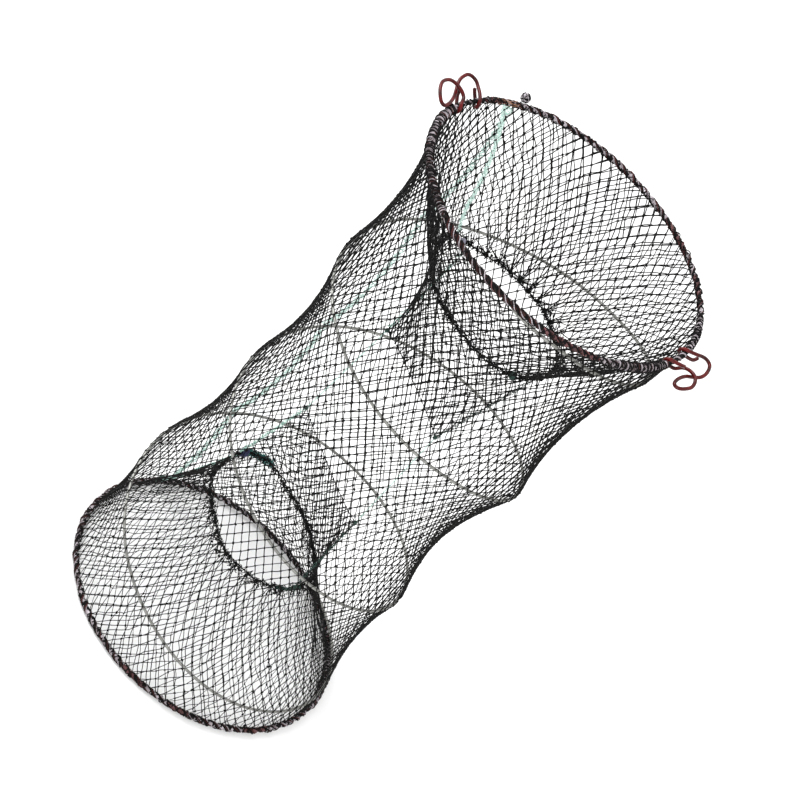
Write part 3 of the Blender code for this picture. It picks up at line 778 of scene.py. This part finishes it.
# seams: pale green lacing down both funnels and along the tube
b = Build()
s = np.linspace(0.006, 0.994, 120)
P, N = tube_net(np.full(120, 152.0), s)
zigzag(b, P + N * 0.0002, N, 0.0042, 0.0048, 0.00042, 81, 3)
zigzag(b, P + N * 0.0002, N, 0.0022, 0.0034, 0.00036, 80, 2)
b.make("tube_seam", M_MINT, nodes=["tube_seam_lacing_%d" % k for k in (1, 2, 3, 4)], slot="green_cord")
SEAM_AT = {"lower": ((0.0, 0.0), (0.5, 0.0), (1.0, -4.0)),
           "upper": ((0.0, -1.0), (0.25, -2.6), (0.5, 0.2), (0.75, 6.0), (1.0, 9.0))}
for end in ("lower", "upper"):
    b = Build()
    u = np.linspace(0.01, 0.985, 60)
    at = np.array(SEAM_AT[end])
    P, N = funnel(end)(np.interp(u, at[:, 0], at[:, 1]), u)
    zigzag(b, P, N, 0.0030, 0.0026, 0.00042, 82, 3)
    zigzag(b, P, N, 0.0017, 0.0021, 0.00040, 83, 2)
    b.make(end + "_cone_seam", M_MINT if end == "upper" else M_GREEN, nodes=[end + "_funnel_seam"],
           slot="green_cord")
    # tongue lacing
    for word, x in (("left", 0.0), ("right", 1.0)):
        b = Build()
        v = np.linspace(0.04, 0.97, 40)
        P, N = tongue(end)(np.full(40, x), v)
        zigzag(b, P, N, 0.0016, 0.0044, 0.00036, 84, 2)
        line_tube(b, P + N * 0.0006, 0.00036, 5)
        b.make("%s_tongue_lace_%s" % (end, word), M_GREEN if word == "left" else M_DGREEN,
               nodes=["%s_tongue_lacing_%s" % (end, word)],
               slot="green_cord" if word == "left" else "dark_green_cord")
# the lower mouth's two corners are laced over in green
for word, mat, p0, p1, wide in (("left", M_TEAL, -8.0, -29.0, 0.0038), ("right", M_DGREEN, 163.0, 187.0, 0.0016)):
    b = Build()
    P = lip("lower", np.linspace(p0, p1, 30), 0.0010)
    for k in (0, 1, 2):
        zigzag(b, P, np.array([0.3, -0.8, 0.5]), wide * (1 - 0.22 * k), 0.0015 + 0.0004 * k, 0.00042, 86 + k, 2)
    b.make("lower_corner_lacing_" + word, mat, slot="dark_green_cord")

# pull cords between the two tongues
for k, word in ((0, "left"), (1, "right")):
    a = np.array(TIPS["lower"][k]) * R + np.array([0, 0, Z0])
    c = np.array(TIPS["upper"][k]) * R + np.array([0, 0, Z0])
    f = np.linspace(0, 1, 160)[:, None]
    b = Build()
    twisted(b, a + (c - a) * f, 0.00058, 0.0030, 2, 6)
    b.make("pull_cord_" + word + "_twine", M_GREEN, nodes=["pull_cord_" + word], slot="green_cord")
    for end, at, sd in (("lower", a, 90 + k), ("upper", c, 94 + k)):
        b = Build()
        wound(b, at, (0.0019, 0.0017, 0.0022), 0.00042, 9, sd, c - a)
        tails(b, at, 4, 0.006, 0.0003, sd + 9)
        b.make("%s_tongue_tie_%s" % (end, word), M_DGREEN,
               nodes=["%s_tongue_knot_%s" % (end, word)], slot="dark_green_cord")

# knots at the corners of the mouths
for end, word, phi, mat, rad, slotname in (
        ("lower", "left", -6.0, M_BLUE, (0.0052, 0.0044, 0.0056), "blue_knot"),
        ("lower", "right", 180.0, M_DGREEN, (0.0030, 0.0020, 0.0020), "dark_green_cord"),
        ("upper", "left", 7.0, M_GREY, (0.0030, 0.0024, 0.0034), "grey_knot"),
        ("upper", "right", 160.0, M_DGREEN, (0.0044, 0.0030, 0.0030), "dark_green_cord")):
    b = Build()
    at = lip(end, np.array([phi]), -0.0045 if mat is M_GREY else 0.0)[0]
    wound(b, at, rad, 0.00055, 14, 101 + int(phi), (0, 0, 1))
    tails(b, at, 6, 0.007, 0.0004, 103)
    b.make("%s_corner_knot_%s" % (end, word), mat, nodes=["%s_mouth_knot_%s" % (end, word)], slot=slotname)


# ------------------------------------------------- wrapping round the rings
def ring_frame(az, z):
    a = np.radians(az)
    c = np.stack([R * np.cos(a), R * np.sin(a), np.full_like(a, z)], -1)
    out = np.stack([np.cos(a), np.sin(a), np.zeros_like(a)], -1)
    return c, out


def wrapping(b, az0, az1, z, pitch, rad, twine, seed, lay=0.0042, plies=2, wobble=0.0003, starts=1):
    """Twine wound round a hoop from az0 to az1 (degrees)."""
    rr = np.random.default_rng(seed)
    arc = math.radians(az1 - az0) * R
    for s0 in range(starts):
        n = int(arc / pitch)
        steps = 14
        m = n * steps
        f = np.arange(m + 1) / m
        az = az0 + (az1 - az0) * f
        c, out = ring_frame(az, z)
        ph = 2 * np.pi * (f * n + s0 / starts)
        g = np.interp(f * n, np.arange(n + 2), rr.normal(size=n + 2))
        rad_here = rad + wobble * g
        ph = ph + 0.35 * np.interp(f * n, np.arange(n + 2), rr.normal(size=n + 2))
        P = c + rad_here[:, None] * (np.cos(ph)[:, None] * out + np.sin(ph)[:, None] * np.array([0, 0, 1.0]))
        if plies > 1:
            P = resample(P, lay / 7)
            twisted(b, P, twine, lay, plies, 5)
        else:
            line_tube(b, P, twine, 6)
    return b


MESH = 2 * math.pi * R / MESHES
FOOT = 5.85


def spiral(b, az0, az1, z, pitch, rad, strands_, spread, twine, seed, hand=1, plies=2, lay=0.0038,
           wobble=0.00025, phase=0.0, squat=1.0, uneven=0.10, grain=1.0):
    """Strands laid side by side and wound round a hoop, one turn per pitch."""
    rr = np.random.default_rng(seed)
    arc = math.radians(az1 - az0) * R
    turns = arc / pitch
    m = max(8, int(turns * 26))
    f = np.linspace(0, 1, m)
    cells = int(turns * grain) + 3
    at = f * turns
    g1 = np.interp(at * grain, np.arange(cells), rr.normal(size=cells))
    g2 = np.interp(at * grain, np.arange(cells), rr.normal(size=cells))
    for k in range(strands_):
        shift = (k - (strands_ - 1) / 2) * spread
        az = az0 + (az1 - az0) * f
        ph = hand * 2 * np.pi * (at - shift / pitch + uneven * g1) + phase
        rk = rad + wobble * g2 + 0.00012 * np.sin(3 * ph + k)
        c, out = ring_frame(az, z)
        P = c + (rk * squat)[:, None] * np.cos(ph)[:, None] * out \
            + rk[:, None] * np.sin(ph)[:, None] * np.array([0, 0, 1.0])
        P = resample(P, lay / 7)
        twisted(b, P, twine * (1 + 0.10 * rr.normal()), lay, plies, 5, phase=rr.uniform(0, 6.28))
    return b


def strewn(b, a0, a1, z, every, rad, size, seed, low=-1.0):
    """Small black knots where the selvage is hitched to the hoop."""
    rr = np.random.default_rng(seed)
    n = max(2, int(math.radians(a1 - a0) * R / every))
    az = a0 + (a1 - a0) * (np.arange(n) + rr.uniform(0.1, 0.9, n)) / n
    th = rr.uniform(0, 2 * np.pi, n)
    c, out = ring_frame(az, z)
    d = np.cos(th)[:, None] * out + np.maximum(np.sin(th), low)[:, None] * np.array([0, 0, 1.0])
    tang = np.stack([-out[:, 1], out[:, 0], 0 * az], -1)
    X = unit(tang + 0.9 * rr.normal(size=(n, 1)) * np.cross(tang, d))
    Y = unit(np.cross(d, X))
    lumps(b, c + d * rad, X, Y, unit(d), size * rr.uniform(0.7, 1.3, (n, 1)) * np.array([[1.5, 1.0, 0.8]]), 0.12)


# style, from, to (degrees), and the stretches where the twine is reddish
STYLES = {"lower": (("thick", 10.0, 50.0), ("rope", 50.0, 370.0)),
          "upper": (("bare", -7.4, 10.2), ("loops", 10.2, 30.0), ("rope", 30.0, 166.8), ("bare", 166.8, 185.2),
                    ("tight", 185.2, 200.0), ("coil", 200.0, 217.0), ("dense", 217.0, 246.0),
                    ("rope", 246.0, 327.0), ("coil", 327.0, 352.6))}
REDDISH = {"lower": ((275, 286), (297, 306), (330, 342)),
           "upper": ((40, 52), (62, 78), (158, 164), (274, 280), (297, 320))}
for word, z, body, nodes in (("lower", Z0, "base", ["lower_ring_wrap"]),
                             ("upper", Z1, "top", ["upper_wrap_back", "upper_wrap_front",
                                                   "upper_wrap_left", "upper_wrap_right"])):
    core, pale, red, dark = Build(), Build(), Build(), Build()
    for n, (style, a0, a1) in enumerate(STYLES[word]):
        cuts = [a0, a1] + [c for span in REDDISH[word] for c in span if a0 < c < a1]
        cuts = sorted(cuts)
        az = np.linspace(a0 - 0.3, a1 + 0.3, max(6, int((a1 - a0) / 0.5)))
        rr = np.random.default_rng(140 + n)
        thick = {"rope": 0.0019, "bare": 0.0018, "loops": 0.0022, "tight": 0.0027, "coil": 0.0026,
                 "dense": 0.0020, "thick": 0.0026}[style]
        line_tube(core, ring_frame(az, z)[0], thick + 0.00012 * rr.normal(size=len(az)), 10)
        low = -0.75 if word == "lower" else -1.0
        for c0, c1 in zip(cuts[:-1], cuts[1:]):
            tinted = any(r0 <= (c0 + c1) / 2 <= r1 for r0, r1 in REDDISH[word])
            # fair: the pale twine, whose light ply is painted highlight, or the reddish twine
            fair = red if tinted else pale
            sd = 150 + 10 * n + int(c0)
            if style == "rope":
                pitch = MESH * (0.96 if word == "lower" or a0 < 200 else 0.80)
                line_tube(dark if word == "upper" and 240 < (c0 + c1) / 2 < 300 else fair,
                          ring_frame(np.linspace(c0, c1, max(6, int(c1 - c0) * 2)), z)[0], 0.00190, 10)
                for lay_ in range(2):
                    turn_ = np.pi * lay_
                    spiral(core, c0, c1, z, 2 * pitch, 0.00255, 1, 0.002, 0.00078, sd + 1 + lay_, hand=-1,
                           phase=turn_, uneven=0.06, wobble=0.00045, grain=2.0)
                    spiral(dark, c0, c1, z, 2 * pitch, 0.00250, 1, 0.002, 0.00068, sd + 1 + lay_, hand=-1,
                           phase=turn_ + 0.72, uneven=0.06, wobble=0.00045, grain=2.0)
                    spiral(fair, c0, c1, z, 2 * pitch, 0.00246, 1, 0.002, 0.00050, sd + 4 + lay_,
                           hand=-1, phase=turn_ + 1.55, uneven=0.06, wobble=0.00035, grain=2.0)
                spiral(core, c0, c1, z, pitch, 0.00275, 1, 0.001, 0.00046, sd + 8, plies=1,
                       wobble=0.00060, uneven=0.16)
                strewn(core, c0, c1, z, MESH * 0.55, 0.00255, 0.00130, sd + 3, low)
            elif style == "bare":
                spiral(core, c0, c1, z, MESH / 2, 0.00200, 1, 0.001, 0.00055, sd, plies=1)
                spiral(fair, c0, c1, z, MESH, 0.00205, 2, 0.0011, 0.00045, sd + 1, hand=-1)
            elif style == "loops":
                spiral(fair, c0, c1, z, 0.0066, 0.00270, 3, 0.0012, 0.00055, sd)
                spiral(core, c0, c1, z, 0.0066, 0.00300, 3, 0.0020, 0.00046, sd + 1, phase=2.6, plies=1)
                spiral(core, c0, c1, z, 0.0080, 0.00310, 2, 0.0040, 0.00046, sd + 2, hand=-1, plies=1)
                strewn(core, c0, c1, z, 0.0050, 0.0032, 0.0009, sd + 3)
            else:
                pitch = {"tight": 0.0038, "coil": 0.0044, "dense": 0.0036, "thick": 0.0046}[style]
                rad = {"tight": 0.0034, "coil": 0.0034, "dense": 0.0027, "thick": 0.0032}[style]
                thick = {"tight": 0.00052, "coil": 0.00052, "dense": 0.00045, "thick": 0.00050}[style]
                line_tube(fair if style in ("tight", "coil") else dark,
                          ring_frame(np.linspace(c0, c1, max(6, int(c1 - c0) * 2)), z)[0], rad - 0.0006, 10)
                spiral(fair, c0, c1, z, pitch * 0.5, rad - 0.0002, 1, 0.001, thick, sd, wobble=0.0003, uneven=0.2)
                bold = 0.00060 if style in ("tight", "coil") else 0.00072
                spiral(core, c0, c1, z, pitch, rad + 0.0004, 1, 0.001, bold, sd + 1, phase=1.6, plies=1,
                       wobble=0.0006, uneven=0.16)
                spiral(core, c0, c1, z, pitch * 1.9, rad + 0.0005, 1, 0.001, 0.00055, sd + 2, hand=-1, plies=1,
                       wobble=0.0006, uneven=0.2)
                spiral(dark, c0, c1, z, pitch * 1.4, rad + 0.0001, 1, 0.001, bold - 0.00006, sd + 4, wobble=0.0004,
                       uneven=0.3)
                strewn(core, c0, c1, z, 0.0044, rad + 0.0005, 0.0011, sd + 3)
    for part in (core, dark, red, pale):
        for v in part.v:
            v[:, 2] = np.maximum(v[:, 2], 0.0003)      # nothing goes below the floor
    core.make(word + "_ring_core", M_CORE, body, (), squash=False, slot="ring_twine")
    dark.make(word + "_ring_binding", M_TWINE_DARK, body, (), squash=False, slot="ring_twine")
    red.make(word + "_ring_wrapping_red", M_TWINE_RED, body, (), squash=False, slot="ring_twine")
    pale.make(word + "_ring_wrapping", M_TWINE_PAINTED_HIGHLIGHT, body, nodes, squash=False, slot="ring_twine")

# thin orange strands along the hoop, and the ball of spare twine
b = Build()
rr = np.random.default_rng(170)
for k in range(6):
    az = np.linspace(149.0 + rr.uniform(0, 2), 159.5 + rr.uniform(-2, 1), 40)
    c, out = ring_frame(az, Z1)
    th = 0.9 + 0.55 * k + 0.5 * np.sin(np.radians(az * 21 + 70 * k))
    P = c + 0.0029 * (np.cos(th)[:, None] * out + np.sin(th)[:, None] * np.array([0, 0, 1.0]))
    line_tube(b, P, 0.00030, 5)
b.make("orange_strands", M_ORANGE, "top", (), squash=False, slot="ring_twine")
b = Build()
a = math.radians(147.5)
c = np.array([(R + 0.0045) * math.cos(a), (R + 0.0045) * math.sin(a), Z1 + 0.0066])
wound(b, c, (0.0044, 0.0044, 0.0044), 0.00060, 10, 171, core=0.80)
b.make("twine_ball", M_BALL_PAINTED_HIGHLIGHT, "top", ["upper_twine_ball"], squash=False, slot="ring_twine")
b = Build()
wound(b, c, (0.00455, 0.00455, 0.00455), 0.00046, 12, 174, core=0.88)
b.make("twine_ball_dark", M_CORE, "top", (), squash=False, slot="ring_twine")
b = Build()
a = math.radians(155.5)
c = np.array([(R - 0.001) * math.cos(a), (R - 0.001) * math.sin(a), Z0 + 0.0058])
wound(b, c, (0.0030, 0.0030, 0.0026), 0.00055, 12, 172)
tails(b, c, 4, 0.009, 0.0004, 173)
b.make("seam_knot", M_DGREEN, "base", ["lower_ring_knot"], squash=False, slot="dark_green_cord")

# ------------------------------------------------------------------- hooks
HINGE_R = R * math.cos(math.radians(FOOT))
HOOK_AT = {"left": (176.0, 28.0, -1), "right": (1.4, -2.0, 1)}     # azimuth, tilt, side
# points in millimetres from the middle of the hinge line: out, along, up
FIRST_END = {1: ((9.3, -2.5, 0.9), (7.2, -8.4, 3.0)), -1: ((13.2, -2.9, -1.9), (9.4, -4.5, -5.2))}
HOOK_RUN = {
    1: ((5.4, -7.0, -5.0), (8.8, 1.5, -3.8), (12.8, 2.5, -1.2), (18.3, -0.5, 1.9), (22.8, -2.6, 2.1),
        (26.0, -6.5, 1.0), (27.4, -13.5, 0.0), (25.3, -22.0, -0.5), (22.4, -27.8, -1.0),
        (19.4, -30.4, -1.0), (16.7, -29.6, -1.0), (15.3, -25.0, -1.2), (15.1, -16.0, -1.6),
        (16.8, -6.0, -1.9), (20.8, 2.3, -1.9), (24.4, 9.5, -1.0), (25.1, 17.7, 0.0),
        (23.2, 26.6, 0.5), (20.1, 31.6, 1.0), (15.8, 31.5, 2.0), (11.8, 27.5, 3.3), (7.3, 20.0, 4.6)),
    -1: ((5.2, -10.4, 4.2), (10.7, -8.8, 3.2), (16.7, -10.2, 1.8), (21.7, -15.0, 1.0),
         (24.0, -21.5, 1.0), (23.5, -30.4, 1.6), (19.4, -37.3, 2.6), (13.7, -41.8, 3.6),
         (7.7, -44.4, 4.6), (4.2, -43.6, 5.2), (3.1, -39.6, 5.0), (4.5, -31.0, 3.8),
         (7.9, -20.0, 0.8), (12.5, -11.1, -1.6), (18.0, -4.4, -2.5), (22.0, 1.0, -2.0),
         (24.0, 8.0, -1.4), (24.0, 13.2, -0.9), (21.4, 18.0, -0.7), (16.9, 20.6, 0.0),
         (11.7, 19.2, 1.4), (6.2, 16.0, 3.6))}
LAST_END = {1: ((8.0, 22.2, -3.6), (9.8, 26.0, -0.5)), -1: ((6.0, 19.8, -4.6), (11.0, 19.0, -2.6))}


def foot_bend(along):
    turn = np.linspace(78.0, 280.0, 12)
    a = np.radians(turn)
    return np.stack([4.85 * np.cos(a), along - 4.5 + 8.2 * ((turn - 150.0) / 130.0) ** 2, 4.85 * np.sin(a)], -1)


foot = 1000.0 * R * math.sin(math.radians(FOOT))
for word, (azimuth, tilt, side) in HOOK_AT.items():
    first = foot_bend(-foot)
    if side < 0:
        first = first[::-1]
    pts = spline(np.vstack([FIRST_END[side], first, HOOK_RUN[side], foot_bend(foot), LAST_END[side]]), 8) / 1000.0
    a, t = math.radians(azimuth), math.radians(tilt)
    up = np.array([0.0, 0.0, 1.0])
    out = np.array([math.cos(a), math.sin(a), 0.0])
    along_ring = np.array([-math.sin(a), math.cos(a), 0.0]) * side
    u = out * math.cos(t) + up * math.sin(t)
    w = -out * math.sin(t) + up * math.cos(t)
    P = out * HINGE_R + up * Z1 + pts[:, :1] * u + pts[:, 1:2] * along_ring + pts[:, 2:] * w
    P = resample(P, 0.0006)
    b = Build()
    line_tube(b, P, 0.0017, 14)
    b.make("hook_wire_" + word, M_RED, "hook_" + word, ["hook_" + word], squash=False, slot="hook_wire")

# ------------------------------------------------------- floor and lighting
bm = bpy.data.meshes.new("floor")
h = 6.0
bm.from_pydata([(-h, -h, -0.0002), (h, -h, -0.0002), (h, h, -0.0002), (-h, h, -0.0002)], [], [(0, 1, 2, 3)])
floor = bpy.data.objects.new("floor", bm)
bpy.context.scene.collection.objects.link(floor)
M_FLOOR = shader("floor_paper", (0.75, 0.75, 0.75), 0.9, vary=0.01, scale=3.0, spec=0.1)
M_FLOOR.node_tree.nodes["Principled BSDF"].inputs["Emission Color"].default_value = (1.0, 1.0, 1.0, 1.0)
M_FLOOR.node_tree.nodes["Principled BSDF"].inputs["Emission Strength"].default_value = 0.19
bm.materials.append(M_FLOOR)

world = bpy.context.scene.world or bpy.data.worlds.new("world")
bpy.context.scene.world = world
world.use_nodes = True
bg = world.node_tree.nodes["Background"]
bg.inputs["Color"].default_value = (1.0, 1.0, 1.0, 1.0)
bg.inputs["Strength"].default_value = 1.0


def area(name, at, to, size, power, colour=(1, 1, 1)):
    d = bpy.data.lights.new(name, "AREA")
    d.shape = "DISK"
    d.size = size
    d.energy = power
    d.color = colour
    o = bpy.data.objects.new(name, d)
    bpy.context.scene.collection.objects.link(o)
    o.location = at
    o.rotation_mode = "QUATERNION"
    o.rotation_quaternion = (Vector(to) - Vector(at)).to_track_quat("-Z", "Y")
    return o


area("key", (-2.0, -0.1, 2.2), (0, 0, 0.3), 1.6, 80.0)
area("fill", (1.8, -1.6, 1.8), (0, 0, 0.3), 1.6, 30.0)
